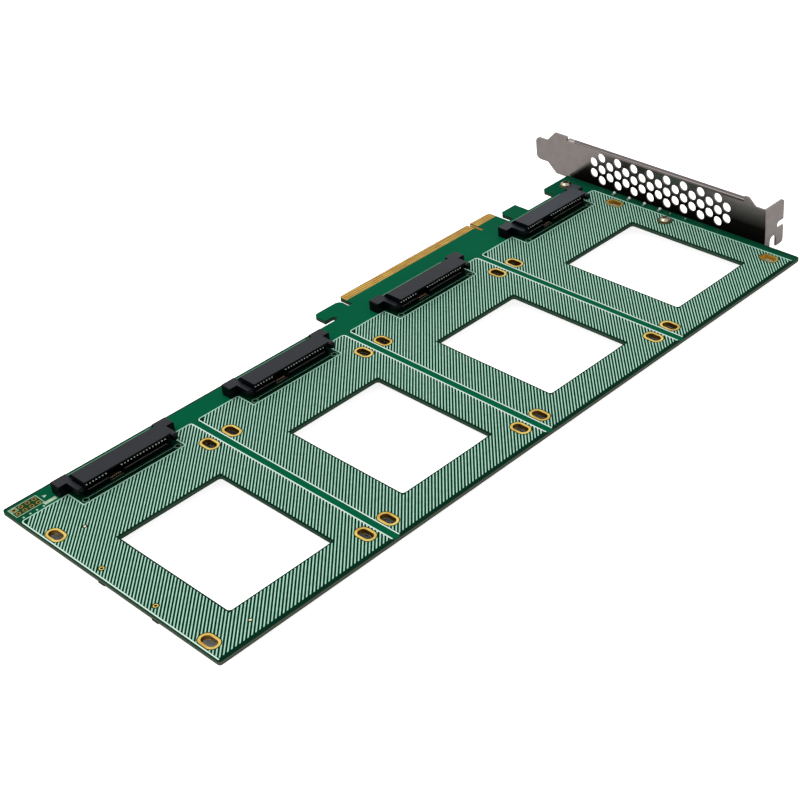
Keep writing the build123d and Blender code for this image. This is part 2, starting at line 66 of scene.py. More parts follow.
BOARD_LOW, BOARD_HIGH = (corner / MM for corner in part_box("circuit_board"))

Rgb = tuple[float, float, float]
Pair = tuple[float, float]

log = logging.getLogger("adapter_card")


class Slot(Enum):
    """The record's material slots, one of which is passed with each piece made here."""

    HOUSING = "connector_plastic"
    CONTACT = "contact_metal"
    SCREW = "screw_steel"
    LAMP = "lamp_resin"


def tone(colour: Rgb) -> tuple[float, ...]:
    """Turn a display colour of 0 to 255 into the linear colour that a socket takes.

    Args:
        colour: The red, green and blue as a picture shows them.

    Returns:
        The linear red, green and blue, and an alpha of one.
    """
    shown = np.array(colour, float) / 255
    linear = np.where(shown <= 0.04045, shown / 12.92, ((shown + 0.055) / 1.055) ** 2.4)
    return (*linear.tolist(), 1.0)


class Tree:
    """Short calls that place and join the nodes of one material, sky or shared effect."""

    def __init__(self, tree: NodeTree, effects: Effects | None = None) -> None:
        """Keep the tree that the calls work on, and the shared effects that they may place."""
        self.tree = tree
        self.effects = effects

    def add(self, kind: str, **settings: Any) -> Node:
        """Place a node and give it its settings."""
        node = self.tree.nodes.new(kind)
        for name, value in settings.items():
            setattr(node, name, value)
        return node

    def feed(self, socket: NodeSocket, value: Any) -> None:
        """Join an output to a socket, or set the socket to a plain value."""
        if isinstance(value, NodeSocket):
            self.tree.links.new(value, socket)
        else:
            socket.default_value = value

    def feed_all(self, node: Node, **values: Any) -> Node:
        """Feed a node's sockets by name.

        Args:
            node: The node.
            values: A plain value or an output for each socket, with _ for a space in its name.

        Returns:
            The same node.
        """
        for name, value in values.items():
            self.feed(node.inputs[name.replace("_", " ")], value)
        return node

    def feed_first(self, node: Node, *values: Any) -> Node:
        """Feed a node's first sockets in their order, and give the node back."""
        for socket, value in zip(node.inputs, values):
            self.feed(socket, value)
        return node

    def maths(self, operation: str, *values: Any) -> NodeSocket:
        """Work out one number from others, each a plain number or an output."""
        return self.feed_first(self.add("ShaderNodeMath", operation=operation), *values).outputs[0]

    def vector(self, operation: str, *values: Any) -> Node:
        """Work out a vector or a number from vectors."""
        return self.feed_first(self.add("ShaderNodeVectorMath", operation=operation), *values)

    def both(self, first: Any, second: Any) -> NodeSocket:
        """Give where two masks overlap."""
        return self.maths("MULTIPLY", first, second)

    def between(self, value: Any, low: float, high: float) -> NodeSocket:
        """Mask where a value lies between two others."""
        return self.group(self.effects.slab, Height=value, Low=low, High=high).outputs["Mask"]

    def span(self, value: Any, low: float, high: float, first: float = 0, second: float = 1) -> NodeSocket:
        """Carry a value from one range to another, held at the ends.

        Args:
            value: The number or output.
            low, high: The range that it comes from.
            first, second: What the low and the high end become.

        Returns:
            The carried value.
        """
        node = self.add("ShaderNodeMapRange", clamp=True)
        return self.feed_first(node, value, low, high, first, second).outputs[0]

    def blend(self, factor: Any, first: Any, second: Any) -> NodeSocket:
        """Mix two colours.

        Args:
            factor: How much of the second, from 0 to 1.
            first, second: Display colours or outputs.

        Returns:
            The mixed colour.
        """
        node = self.add("ShaderNodeMix", data_type="RGBA")
        for number, value in zip((0, 6, 7), (factor, first, second)):
            self.feed(node.inputs[number], tone(value) if isinstance(value, tuple) else value)
        return node.outputs[2]

    def coats(self, colour: Any, *coats: tuple[Any, Any]) -> NodeSocket:
        """Lay coats over a colour, each given as its mask and its own colour."""
        for mask, coat in coats:
            colour = self.blend(mask, colour, coat)
        return colour

    def place(self, scale: Sequence[float] = (1, 1, 1), shift: Sequence[float] = (0, 0, 0)) -> NodeSocket:
        """Give the object's own coordinates, scaled and then shifted."""
        place = self.add("ShaderNodeTexCoord").outputs["Object"]
        mapping = self.add("ShaderNodeMapping")
        return self.feed_all(mapping, Vector=place, Scale=scale, Location=shift).outputs[0]

    def split(self, vector: NodeSocket) -> tuple[NodeSocket, ...]:
        """Give a vector's three numbers."""
        return tuple(self.feed_all(self.add("ShaderNodeSeparateXYZ"), Vector=vector).outputs)

    def spot(self) -> tuple[NodeSocket, ...]:
        """Give the place on the card along X, Y and Z, in millimetres."""
        return self.split(self.place(scale=(1 / MM,) * 3))

    def noise(self, vector: Any, scale: Any, detail: float) -> NodeSocket:
        """Give a cloudy value between 0 and 1."""
        node = self.add("ShaderNodeTexNoise")
        return self.feed_all(node, Vector=vector, Scale=scale, Detail=detail).outputs[0]

    def group(self, tree: NodeTree, **values: Any) -> Node:
        """Place a shared effect with its own values."""
        return self.feed_all(self.add("ShaderNodeGroup", node_tree=tree), **values)

    def grain(self, fine: float, wide: float) -> tuple[NodeSocket, ...]:
        """Give the height and the cloud of tone of the shared surface grain."""
        return tuple(self.group(self.effects.grain, Vector=self.place(), Fine=fine, Wide=wide).outputs)

    def bump(self, height: Any, depth: float, strength: float) -> NodeSocket:
        """Give the normal of a surface that a height raises, with its depth in metres."""
        node = self.add("ShaderNodeBump")
        return self.feed_all(node, Strength=strength, Distance=depth, Height=height).outputs[0]


def new_effect(
    name: str, inputs: dict[str, float | None], outputs: Sequence[str]
) -> tuple[Tree, dict, dict]:
    """Start a shared shader effect.

    Args:
        name: The group's name.
        inputs: Each input's name with its default, or with None where it is a vector.
        outputs: The names of the numbers that it gives.

    Returns:
        The group's tree, its inputs by name and the sockets that its results go into.
    """
    tree = bpy.data.node_groups.new(name, "ShaderNodeTree")
    for label, default in inputs.items():
        kind = "NodeSocketVector" if default is None else "NodeSocketFloat"
        socket = tree.interface.new_socket(label, in_out="INPUT", socket_type=kind)
        if default is not None:
            socket.default_value = default
    for label in outputs:
        tree.interface.new_socket(label, in_out="OUTPUT", socket_type="NodeSocketFloat")
    begin = tree.nodes.new("NodeGroupInput")
    end = tree.nodes.new("NodeGroupOutput")
    given = {label: begin.outputs[label] for label in inputs}
    wanted = {label: end.inputs[label] for label in outputs}
    return Tree(tree), given, wanted


def grain_effect() -> NodeTree:
    """Build the fine surface grain: small noise for height, wide noise for tone."""
    inputs = {"Vector": None, "Fine": 2000.0, "Wide": 60.0}
    tree, given, wanted = new_effect("surface_grain", inputs, ("Height", "Cloud"))
    tree.feed(wanted["Height"], tree.noise(given["Vector"], given["Fine"], 2.0))
    tree.feed(wanted["Cloud"], tree.noise(given["Vector"], given["Wide"], 4.0))
    return tree.tree


def rolled_effect() -> NodeTree:
    """Build the rolled sheet's long marks: noise stretched along X with faint dull spots."""
    tree, given, wanted = new_effect("rolled_marks", {"Vector": None, "Fine": 900.0}, ("Marks", "Spots"))
    stretch = tree.feed_all(tree.add("ShaderNodeMapping"), Vector=given["Vector"], Scale=(0.04, 1.0, 1.0))
    tree.feed(wanted["Marks"], tree.noise(stretch.outputs[0], given["Fine"], 5.0))
    spots = tree.noise(given["Vector"], tree.maths("MULTIPLY", given["Fine"], 0.2), 3.0)
    tree.feed(wanted["Spots"], tree.span(spots, 0.45, 0.75))
    return tree.tree


def slab_effect() -> NodeTree:
    """Build a mask that is 1 between two heights and 0 outside them."""
    tree, given, wanted = new_effect("slab", {"Height": 0.0, "Low": 0.0, "High": 1.0}, ("Mask",))
    above = tree.maths("GREATER_THAN", given["Height"], given["Low"])
    below = tree.maths("LESS_THAN", given["Height"], given["High"])
    tree.feed(wanted["Mask"], tree.both(above, below))
    return tree.tree


def slot_effect() -> NodeTree:
    """Build a mask round a race-track slot: 1 up to a reach from its middle stretch, 0 beyond.

    The middle stretch is straight, and half of it is half the slot's length less its radius.
    """
    inputs = {"X": 0.0, "Y": 0.0, "Straight": 1.0, "Reach": 1.0}
    tree, given, wanted = new_effect("slot_halo", inputs, ("Mask",))
    past = tree.maths("SUBTRACT", tree.maths("ABSOLUTE", given["X"]), given["Straight"])
    past = tree.maths("MAXIMUM", past, 0.0)
    squares = tree.maths("ADD", tree.maths("POWER", past, 2.0), tree.maths("POWER", given["Y"], 2.0))
    tree.feed(wanted["Mask"], tree.maths("LESS_THAN", tree.maths("SQRT", squares), given["Reach"]))
    return tree.tree


@dataclass
class Effects:
    """The shared shader effects, each built once."""

    grain: NodeTree = field(default_factory=grain_effect)
    rolled: NodeTree = field(default_factory=rolled_effect)
    slab: NodeTree = field(default_factory=slab_effect)
    slot: NodeTree = field(default_factory=slot_effect)


@dataclass(frozen=True)
class BayLayout:
    """Where the bays lie, read from the record's mounts, in millimetres.

    The masks' methods take the material's tree and the place along X and Y, and give a value
    that is 1 within and 0 outside.
    """

    centre_x: float
    first_y: float
    last_y: float
    pitch: float
    spacing_x: float
    spacing_y: float
    slot_radius: float
    slot_length: float
    connector_shift: float = 4.65
    mouth_strip: Pair = (-8.8, -6.25)
    mouth_half: float = 20.2

    @classmethod
    def from_record(cls) -> BayLayout:
        """Read the layout from the drive bays' bolt patterns."""
        bays = [m for m in frame["record"]["mounts"] if m["name"].startswith("drive_bay_")]
        places = np.array([m["pos_m"] for m in bays]) / MM
        dims = bays[0]["dims"]
        return cls(
            centre_x=float(places[0, 0]),
            first_y=float(places[0, 1]),
            last_y=float(places[-1, 1]),
            pitch=float(places[1, 1] - places[0, 1]),
            spacing_x=dims["spacing_x_mm"],
            spacing_y=dims["spacing_y_mm"],
            slot_radius=dims["hole_r_mm"],
            slot_length=dims["slot_length_mm"],
        )

    @property
    def near_row(self) -> float:
        """Give the X of the slots that are nearest the receptacles."""
        return self.centre_x - self.spacing_x / 2

    def centres(self) -> list[float]:
        """Give the middle of each bay along Y."""
        count = round((self.last_y - self.first_y) / self.pitch) + 1
        return [self.first_y + i * self.pitch for i in range(count)]

    def fold(self, tree: Tree, y: Any) -> NodeSocket:
        """Count the place along Y from the nearest bay's middle, held past the end bays."""
        half = self.pitch / 2
        held = tree.maths("MINIMUM", tree.maths("MAXIMUM", y, self.first_y - half), self.last_y + half - MM)
        turned = tree.maths("ADD", held, half - self.first_y)
        return tree.maths("SUBTRACT", tree.maths("FLOORED_MODULO", turned, self.pitch), half)

    def slot_mask(self, tree: Tree, x: Any, y: Any, margin: float) -> NodeSocket:
        """Mask the drive slots, with a margin past their walls."""
        across = tree.maths("ABSOLUTE", tree.maths("SUBTRACT", x, self.centre_x))
        along = tree.maths("ABSOLUTE", self.fold(tree, y))
        halo = tree.group(tree.effects.slot, X=tree.maths("SUBTRACT", across, self.spacing_x / 2),
                          Y=tree.maths("SUBTRACT", along, self.spacing_y / 2),
                          Straight=self.slot_length / 2 - self.slot_radius, Reach=self.slot_radius + margin)
        return halo.outputs["Mask"]

    def mouth_shadow_mask(self, tree: Tree, x: Any, y: Any) -> NodeSocket:
        """Mask the strip of board between each receptacle's mouth and the line printed before it, where
        painted shadow goes.
        """
        back, front = self.mouth_strip
        strip = tree.between(x, self.near_row + back, self.near_row + front)
        across = tree.maths("ABSOLUTE", tree.maths("SUBTRACT", self.fold(tree, y), self.connector_shift))
        return tree.both(strip, tree.maths("LESS_THAN", across, self.mouth_half))


@dataclass(frozen=True)
class Finish:
    """A finish: one Principled surface, whose sockets each kind of finish feeds in its own way."""

    name: str

    def dress(self, tree: Tree, surface: Node) -> None:
        """Feed the surface's sockets."""
        raise NotImplementedError

    def build(self, effects: Effects) -> Material:
        """Make the finish's material, which may place the shared effects."""
        material = bpy.data.materials.new(self.name)
        material.use_nodes = True
        self.dress(Tree(material.node_tree, effects), material.node_tree.nodes["Principled BSDF"])
        return material


@dataclass(frozen=True)
class SolderMask(Finish):
    """Green solder mask, darker in the printed fields, over a glass-fibre board, with painted shadow before
    the receptacles' mouths and painted shade by the bracket.

    The methods take the material's tree and the place along X, Y and Z. Those of the masks give
    a value that is 1 where the named tone lies.
    """

    layout: BayLayout
    green: Rgb = (0, 98, 66)
    deep: Rgb = (0, 86, 57)
    field_green: Rgb = (2, 45, 30)
    fibre: Rgb = (104, 112, 97)
    fibre_dark: Rgb = (70, 78, 65)
    # painted shade on the fibre of the inner edges, and a painted highlight on the key notch's walls
    shaded_fibre: Rgb = (58, 82, 66)
    lit_notch_wall: Rgb = (220, 176, 104)
    skin_line: Rgb = (30, 48, 36)
    halo: Rgb = (22, 44, 22)
    # painted shadow on the strip before each receptacle's mouth
    shaded: Rgb = (2, 34, 22)
    # darker towards the free end, and painted shade by the bracket
    end_dark_green: Rgb = (10, 58, 40)
    edge_line: Rgb = (38, 42, 28)
    header_green: Rgb = (34, 66, 32)
    field_back: float = 53.2
    field_half: float = 34.4
    halo_margin: float = 1.2
    behind_receptacle: float = 5.2
    back_strip: Pair = (-0.2, 0.6)
    back_strip_end: float = -12.0
    header_margin: float = 0.4
    free_fade: Pair = (40.0, 15.0)
    free_darkening: float = 0.75
    bracket_fade: float = 25.0
    bracket_shade_depth: float = 0.5
    bracket_shade: float = 7.0
    skin: float = 0.03
    core_skins: Pair = (0.25, 0.3)
    edge_depth: float = 1.0
    key_margin: float = 1.0
    key_depth: float = 4.5
    roughness: float = 0.34
    fibre_roughness: float = 0.72
    gloss: float = 0.008

    def back_line_mask(self, tree: Tree, x: Any, y: Any) -> NodeSocket:
        """Mask the dull line along the board's back edge, from the free end to the hook."""
        back_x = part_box("drive_receptacle_1")[0].x / MM - self.behind_receptacle
        line = tree.between(x, back_x + self.back_strip[0], back_x + self.back_strip[1])
        return tree.both(line, tree.maths("LESS_THAN", y, self.back_strip_end))

    def header_mask(self, tree: Tree, x: Any, y: Any) -> NodeSocket:
        """Mask the board inside the header's frame."""
        low, high = (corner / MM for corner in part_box("header_plating"))
        across = tree.between(x, low.x - self.header_margin, high.x + self.header_margin)
        return tree.both(across, tree.between(y, low.y - self.header_margin, high.y + self.header_margin))

    def end_darkening_mask(self, tree: Tree, y: Any) -> NodeSocket:
        """Give how much darker the board is at its two ends: a little towards the free end, and more by the
        bracket, where it is painted shade.
        """
        shade_start = BOARD_HIGH.y - self.bracket_shade
        start, end = (self.layout.first_y - back for back in self.free_fade)
        free = tree.span(y, start, end, self.free_darkening, 0.0)
        right = tree.span(y, self.layout.last_y - self.bracket_fade, shade_start, 0.0, self.bracket_shade_depth)
        by_bracket = tree.span(y, shade_start, BOARD_HIGH.y)
        return tree.maths("MAXIMUM", free, tree.maths("MAXIMUM", right, by_bracket))

    def field_mask(self, tree: Tree, x: Any, y: Any) -> NodeSocket:
        """Mask the printed fields: a strip along X, a stripe in each bay along Y."""
        across = tree.maths("ABSOLUTE", self.layout.fold(tree, y))
        within_x = tree.maths("GREATER_THAN", x, self.layout.centre_x - self.field_back)
        return tree.both(within_x, tree.maths("LESS_THAN", across, self.field_half))

    def fibre_colour(self, tree: Tree, x: Any, y: Any, z: Any) -> NodeSocket:
        """Give the bare fibre's colour on the board's edges.

        It is pale at the free end and the long edge, painted darker as shade on the other edges such as the
        windows', and painted bright on the key notch's walls as a painted highlight, with a darker line
        above and below.
        """
        weave = tree.noise(tree.place(scale=(1, 1, 9)), 900.0, 3.0)
        outer = tree.maths("MAXIMUM", tree.maths("LESS_THAN", y, BOARD_LOW.y + self.edge_depth),
                           tree.maths("GREATER_THAN", x, BOARD_HIGH.x - self.edge_depth))
        low, high = (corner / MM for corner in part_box("edge_contacts_top"))
        in_key = tree.both(tree.between(y, low.y + self.key_margin, high.y - self.key_margin),
                           tree.maths("LESS_THAN", x, high.x + self.key_depth))
        core = tree.between(z, BOARD_LOW.z + self.core_skins[0], BOARD_HIGH.z - self.core_skins[1])
        woven = tree.blend(weave, self.fibre_dark, self.fibre)
        # painted shade on the inner edges and a painted highlight in the key notch
        walls = tree.blend(in_key, tree.blend(outer, self.shaded_fibre, woven), self.lit_notch_wall)
        return tree.blend(core, self.skin_line, walls)

    def dress(self, tree: Tree, surface: Node) -> None:
        """Paint the mask's tones over each other, and the bare fibre on the edges."""
        x, y, z = tree.spot()
        height, cloud = tree.grain(2600.0, 34.0)
        colour = tree.coats(
            tree.blend(cloud, self.deep, self.green),
            # darker towards the free end, and painted shade by the bracket
            (self.end_darkening_mask(tree, y), self.end_dark_green),
            (self.field_mask(tree, x, y), self.field_green),
            (self.layout.slot_mask(tree, x, y, self.halo_margin), self.halo),
            # painted shadow before each receptacle's mouth
            (self.layout.mouth_shadow_mask(tree, x, y), self.shaded),
            (self.back_line_mask(tree, x, y), self.edge_line),
            (self.header_mask(tree, x, y), self.header_green),
        )
        edge = tree.between(z, BOARD_LOW.z + self.skin, BOARD_HIGH.z - self.skin)
        tree.feed_all(surface, Base_Color=tree.blend(edge, colour, self.fibre_colour(tree, x, y, z)),
                      Roughness=tree.span(edge, 0.0, 1.0, self.roughness, self.fibre_roughness),
                      Specular_IOR_Level=self.gloss, Normal=tree.bump(height, 0.00001, 0.35))


@dataclass(frozen=True)
class Gold(Finish):
    """Gold plate over copper, with a faint cloud of tone; by the bracket its flats turn to their bracket
    tone, painted shade where that is darker, and its barrels go from painted shade inside the holes to a
    painted highlight by the bracket.
    """

    bright: Rgb = (240, 210, 108)
    deep: Rgb = (204, 160, 66)
    roughness: float = 0.32
    metallic: float = 0.85
    # barrels: painted shade inside the holes, turning to a painted highlight by the bracket; the bracket
    # tone is painted shade where it is darker
    shaded_barrel: Rgb = (124, 86, 34)
    lit_far_barrel: Rgb = (250, 186, 46)
    bracket_tone: Rgb = (200, 172, 88)
    fade: Pair = (42.0, 12.0)
    barrel_skins: Pair = (0.02, 0.05)

    def dress(self, tree: Tree, surface: Node) -> None:
        """Paint the flats and the barrels, each fading to its tone by the bracket: the barrels from painted
        shade to a painted highlight.
        """
        _, y, z = tree.spot()
        height, cloud = tree.grain(3200.0, 240.0)
        far = tree.span(y, BOARD_HIGH.y - self.fade[0], BOARD_HIGH.y - self.fade[1])
        flat = tree.blend(far, tree.blend(tree.span(cloud, 0.3, 0.7), self.deep, self.bright), self.bracket_tone)
        wall = tree.blend(far, self.shaded_barrel, self.lit_far_barrel)
        inside = tree.between(z, BOARD_LOW.z + self.barrel_skins[0], BOARD_HIGH.z - self.barrel_skins[1])
        tree.feed_all(surface, Base_Color=tree.blend(inside, flat, wall), Metallic=self.metallic,
                      Roughness=tree.span(height, 0.0, 1.0, self.roughness - 0.06, self.roughness + 0.08),
                      Normal=tree.bump(height, 0.000008, 0.4))


@dataclass(frozen=True)
class ContactMetal(Finish):
    """Spring contacts: painted near white at their tips as a painted highlight, tan at the fine contacts'
    tips, and painted shade inside the mouth.
    """

    bright: Rgb = (255, 255, 252)
    # near-white tones of the contact tips: painted highlight
    pale_glint: Rgb = (244, 240, 230)
    tan: Rgb = (176, 146, 108)
    # painted shade on the contacts inside the mouth
    deep: Rgb = (20, 18, 15)
    feet: Rgb = (214, 206, 178)
    tip_length: float = 0.35
    fine_setback: float = 0.7
    shade_low: float = 0.3
    shade_high: float = 2.6
    roughness: float = 0.3

    def dress(self, tree: Tree, surface: Node) -> None:
        """Paint the coarse bars above, the fine bars in the key zone below, and the feet on the board."""
        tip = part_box("receptacle_contacts_1")[1].x / MM - self.tip_length
        x, _, z = tree.spot()
        height, cloud = tree.grain(3000.0, 900.0)
        # the coarse contacts' tips painted near white as a painted highlight, and the rest of them painted
        # shade
        bare = tree.blend(cloud, self.pale_glint, self.bright)
        coarse = tree.blend(tree.maths("GREATER_THAN", x, tip), self.deep, bare)
        fine = tree.blend(tree.maths("GREATER_THAN", x, tip - self.fine_setback), self.deep, self.tan)
        key_zone = tree.between(z, BOARD_HIGH.z + self.shade_low, BOARD_HIGH.z + self.shade_high)
        on_board = tree.maths("LESS_THAN", z, BOARD_HIGH.z + self.shade_low)
        tree.feed_all(surface, Base_Color=tree.coats(coarse, (key_zone, fine), (on_board, self.feet)),
                      Roughness=self.roughness, Normal=tree.bump(height, 0.000006, 0.4))


@dataclass(frozen=True)
class Sheen:
    """The bracket's painted light by place: a painted dark reflection of the board on its inner side, fading
    upwards, a painted shadow in the crease under the lip, and painted shade on the lip.

    The sheen starts where a slanting line crosses the sheet: at the board's top it is at
    start_x, and it leans by slant for each step upwards.
    """

    # painted dark reflection of the board on the bracket's inner side
    shade: Rgb = (27, 21, 21)
    start_x: float = -50.0
    slant: float = 1.2
    soft: float = 2.5
    blur: float = 0.3
    clear_height: float = 19.0
    full_share: float = 0.3
    side_y: float = 138.1
    # painted shade on the lip
    lip_shade: Rgb = (98, 92, 90)
    lip_level: float = 15.7
    lip_range: Pair = (-46.5, 40.9)
    # painted shadow in the crease under the lip
    crease_shade: Rgb = (44, 40, 40)
    crease: float = 0.35
    crease_start: float = -20.0

    def mask(self, tree: Tree) -> NodeSocket:
        """Give the sheen's strength, from 0 to 1."""
        x, y, z = tree.spot()
        height = tree.maths("SUBTRACT", z, BOARD_HIGH.z)
        lean = tree.maths("MULTIPLY", height, self.slant)
        past = tree.maths("SUBTRACT", tree.maths("SUBTRACT", x, self.start_x), lean)
        upwards = tree.span(height, self.full_share * self.clear_height, self.clear_height, 1.0, 0.0)
        strength = tree.both(tree.span(past, 0.0, self.soft), upwards)
        return tree.both(strength, tree.maths("LESS_THAN", y, self.side_y))

    def tint(self, tree: Tree, colour: NodeSocket, shaded: NodeSocket) -> NodeSocket:
        """Lay the painted dark reflection, the painted shadow in the crease under the lip and the lip's
        painted shade over a sheet's colour.

        Args:
            tree: The material's tree.
            colour: The sheet's own colour.
            shaded: The sheen's strength.

        Returns:
            The tinted colour.
        """
        x, _, z = tree.spot()
        along = tree.between(x, *self.lip_range)
        level = BOARD_HIGH.z + self.lip_level
        crease = tree.both(along, tree.maths("GREATER_THAN", z, level - self.crease))
        crease = tree.both(crease, tree.span(x, self.crease_start, self.lip_range[1]))
        lip = tree.both(along, tree.maths("GREATER_THAN", z, level))
        # painted reflection, painted shadow in the crease and painted shade on the lip
        return tree.coats(colour, (shaded, self.shade), (crease, self.crease_shade), (lip, self.lip_shade))


@dataclass(frozen=True)
class SheetMetal(Finish):
    """Nickel-plated sheet steel with rolled marks and duller spots."""

    colour: Rgb = (150, 142, 139)
    dull: Rgb = (142, 134, 131)
    roughness: float = 0.14
    spread: float = 0.1
    sheen: Sheen | None = None

    def dress(self, tree: Tree, surface: Node) -> None:
        """Paint the bare metal with its marks, and where the sheet has a sheen, its painted reflection and
        shade.
        """
        marks, spots = tree.group(tree.effects.rolled, Vector=tree.place(), Fine=1400.0).outputs
        colour = tree.blend(spots, self.colour, self.dull)
        rough = tree.span(marks, 0.3, 0.7, self.roughness, self.roughness + self.spread)
        if self.sheen:
            shaded = self.sheen.mask(tree)
            colour = self.sheen.tint(tree, colour, shaded)
            rough = tree.maths("ADD", rough, tree.maths("MULTIPLY", shaded, self.sheen.blur))
        tree.feed_all(surface, Base_Color=colour, Metallic=1.0, Roughness=rough,
                      Normal=tree.bump(marks, 0.000006, 0.5))


@dataclass(frozen=True)
class MouldedPlastic(Finish):
    """Glass-filled moulding with an eggshell skin, glossier on faces at the heights in tops; there the sides
    are painted darker as shade and the tops paler towards the bracket as a painted highlight.
    """

    colour: Rgb
    bloom: Rgb
    roughness: float = 0.36
    gloss: float = 0.3
    tops: tuple[float, ...] = ()
    side_gloss: float = 0.08
    # how dark the sides are painted, as shade
    side_shade_share: float = 0.4
    top_reach: float = 0.05
    # painted highlight on the tops towards the bracket
    far: Rgb = (45, 51, 60)
    far_start: float = 0.3

    def dress(self, tree: Tree, surface: Node) -> None:
        """Paint the moulding, and where it has tops, paint the sides darker as painted shade and the tops
        paler towards the bracket as a painted highlight.
        """
        height, cloud = tree.grain(4200.0, 300.0)
        colour = tree.blend(tree.span(cloud, 0.35, 0.65), self.colour, self.bloom)
        gloss = self.gloss
        if self.tops:
            _, y, z = tree.spot()
            top = 0.0
            for level in (BOARD_HIGH.z + level for level in self.tops):
                near = tree.between(z, level - self.top_reach, level + self.top_reach)
                top = tree.maths("MAXIMUM", top, near)
            # the sides painted darker than the tops: painted shade
            side = tuple(self.side_shade_share * value for value in self.colour)
            colour = tree.blend(tree.span(y, self.far_start * BOARD_HIGH.y, BOARD_HIGH.y), colour, self.far)
            colour = tree.blend(top, side, colour)
            gloss = tree.span(top, 0.0, 1.0, self.side_gloss, self.gloss)
        tree.feed_all(surface, Base_Color=colour, Specular_IOR_Level=gloss,
                      Roughness=tree.span(height, 0.2, 0.8, self.roughness - 0.05, self.roughness + 0.1),
                      Normal=tree.bump(height, 0.000015, 0.5))


@dataclass(frozen=True)
class ScreenInk(Finish):
    """Screen-printed ink, a little uneven, with a trace of the mask below."""

    layout: BayLayout
    colour: Rgb = (176, 226, 203)
    thin: Rgb = (150, 206, 179)
    # thin print behind the receptacles, and painted shadow on the ink before their mouths
    faint: Rgb = (118, 168, 142)
    outline: Rgb = (224, 246, 234)
    outline_half: float = 33.8
    outline_end: float = 90.0
    back_line: float = -23.0
    roughness: float = 0.55

    def dress(self, tree: Tree, surface: Node) -> None:
        """Paint the ink, bright in the outlines between the bays, faint behind the receptacles where the
        print is fine, and darker as painted shadow before each receptacle's mouth.
        """
        x, y, _ = tree.spot()
        height, cloud = tree.grain(2400.0, 500.0)
        across = tree.maths("ABSOLUTE", self.layout.fold(tree, y))
        border = tree.both(tree.maths("GREATER_THAN", across, self.outline_half),
                           tree.maths("LESS_THAN", y, self.outline_end))
        behind = tree.maths("LESS_THAN", x, self.layout.near_row + self.back_line)
        # fainter ink behind the receptacles, and painted shadow before their mouths
        fine = tree.maths("MAXIMUM", behind, self.layout.mouth_shadow_mask(tree, x, y))
        colour = tree.blend(tree.span(cloud, 0.3, 0.6), self.thin, self.colour)
        tree.feed_all(surface, Base_Color=tree.coats(colour, (border, self.outline), (fine, self.faint)),
                      Roughness=self.roughness, Normal=tree.bump(height, 0.00001, 0.5))


@dataclass(frozen=True)
class ClearResin(Finish):
    """Water-clear lens resin."""

    tint: Rgb = (238, 248, 242)
    cloudy: Rgb = (226.7, 236.7, 230.8)
    roughness: float = 0.1
    transmission: float = 0.15
    refraction: float = 1.5

    def dress(self, tree: Tree, surface: Node) -> None:
        """Paint the resin with a faint cloud of tone."""
        colour = tree.blend(tree.grain(1500.0, 700.0)[1], self.cloudy, self.tint)
        tree.feed_all(surface, Base_Color=colour, Roughness=self.roughness, IOR=self.refraction,
                      Transmission_Weight=self.transmission)


@dataclass(frozen=True)
class PaleFloor(Finish):
    """The white floor, without its glow where the photo camera sees it through a slot.

    A floor point is seen through the board's middle at (1 - k) times its place plus k times
    the camera's place, where k is the board's height over the camera's.
    """

    layout: BayLayout
    camera_place: Vector
    lit: Rgb = (236, 236, 236)
    shown: Rgb = (252, 252, 252)
    glow: float = 0.85
    slot_margin: float = 1.6
    same_line: float = 0.9999

    def seen_from_photo(self, tree: Tree) -> NodeSocket:
        """Mask rays that come from the photo camera's place, by their angle to the line from it."""
        line = tree.vector("SUBTRACT", tuple(self.camera_place * MM), tree.place()).outputs[0]
        unit = tree.vector("NORMALIZE", line).outputs[0]
        incoming = tree.add("ShaderNodeNewGeometry").outputs["Incoming"]
        match = tree.vector("DOT_PRODUCT", unit, incoming).outputs["Value"]
        return tree.maths("GREATER_THAN", match, self.same_line)

    def dress(self, tree: Tree, surface: Node) -> None:
        """Paint the floor, and let it glow for the camera only."""
        seen = tree.add("ShaderNodeLightPath").outputs["Is Camera Ray"]
        k = (BOARD_LOW.z + BOARD_HIGH.z) / 2 / self.camera_place.z
        shift = (self.camera_place.x * k, self.camera_place.y * k, 0.0)
        x, y, _ = tree.split(tree.place(scale=((1 - k) / MM,) * 3, shift=shift))
        behind_slot = self.layout.slot_mask(tree, x, y, self.slot_margin)
        behind_slot = tree.both(behind_slot, self.seen_from_photo(tree))
        tree.feed_all(surface, Base_Color=tree.blend(seen, self.lit, self.shown), Roughness=0.9,
                      Specular_IOR_Level=0.0, Emission_Color=(1, 1, 1, 1),
                      Emission_Strength=tree.both(seen, tree.span(behind_slot, 0.0, 1.0, self.glow, 0.0)))


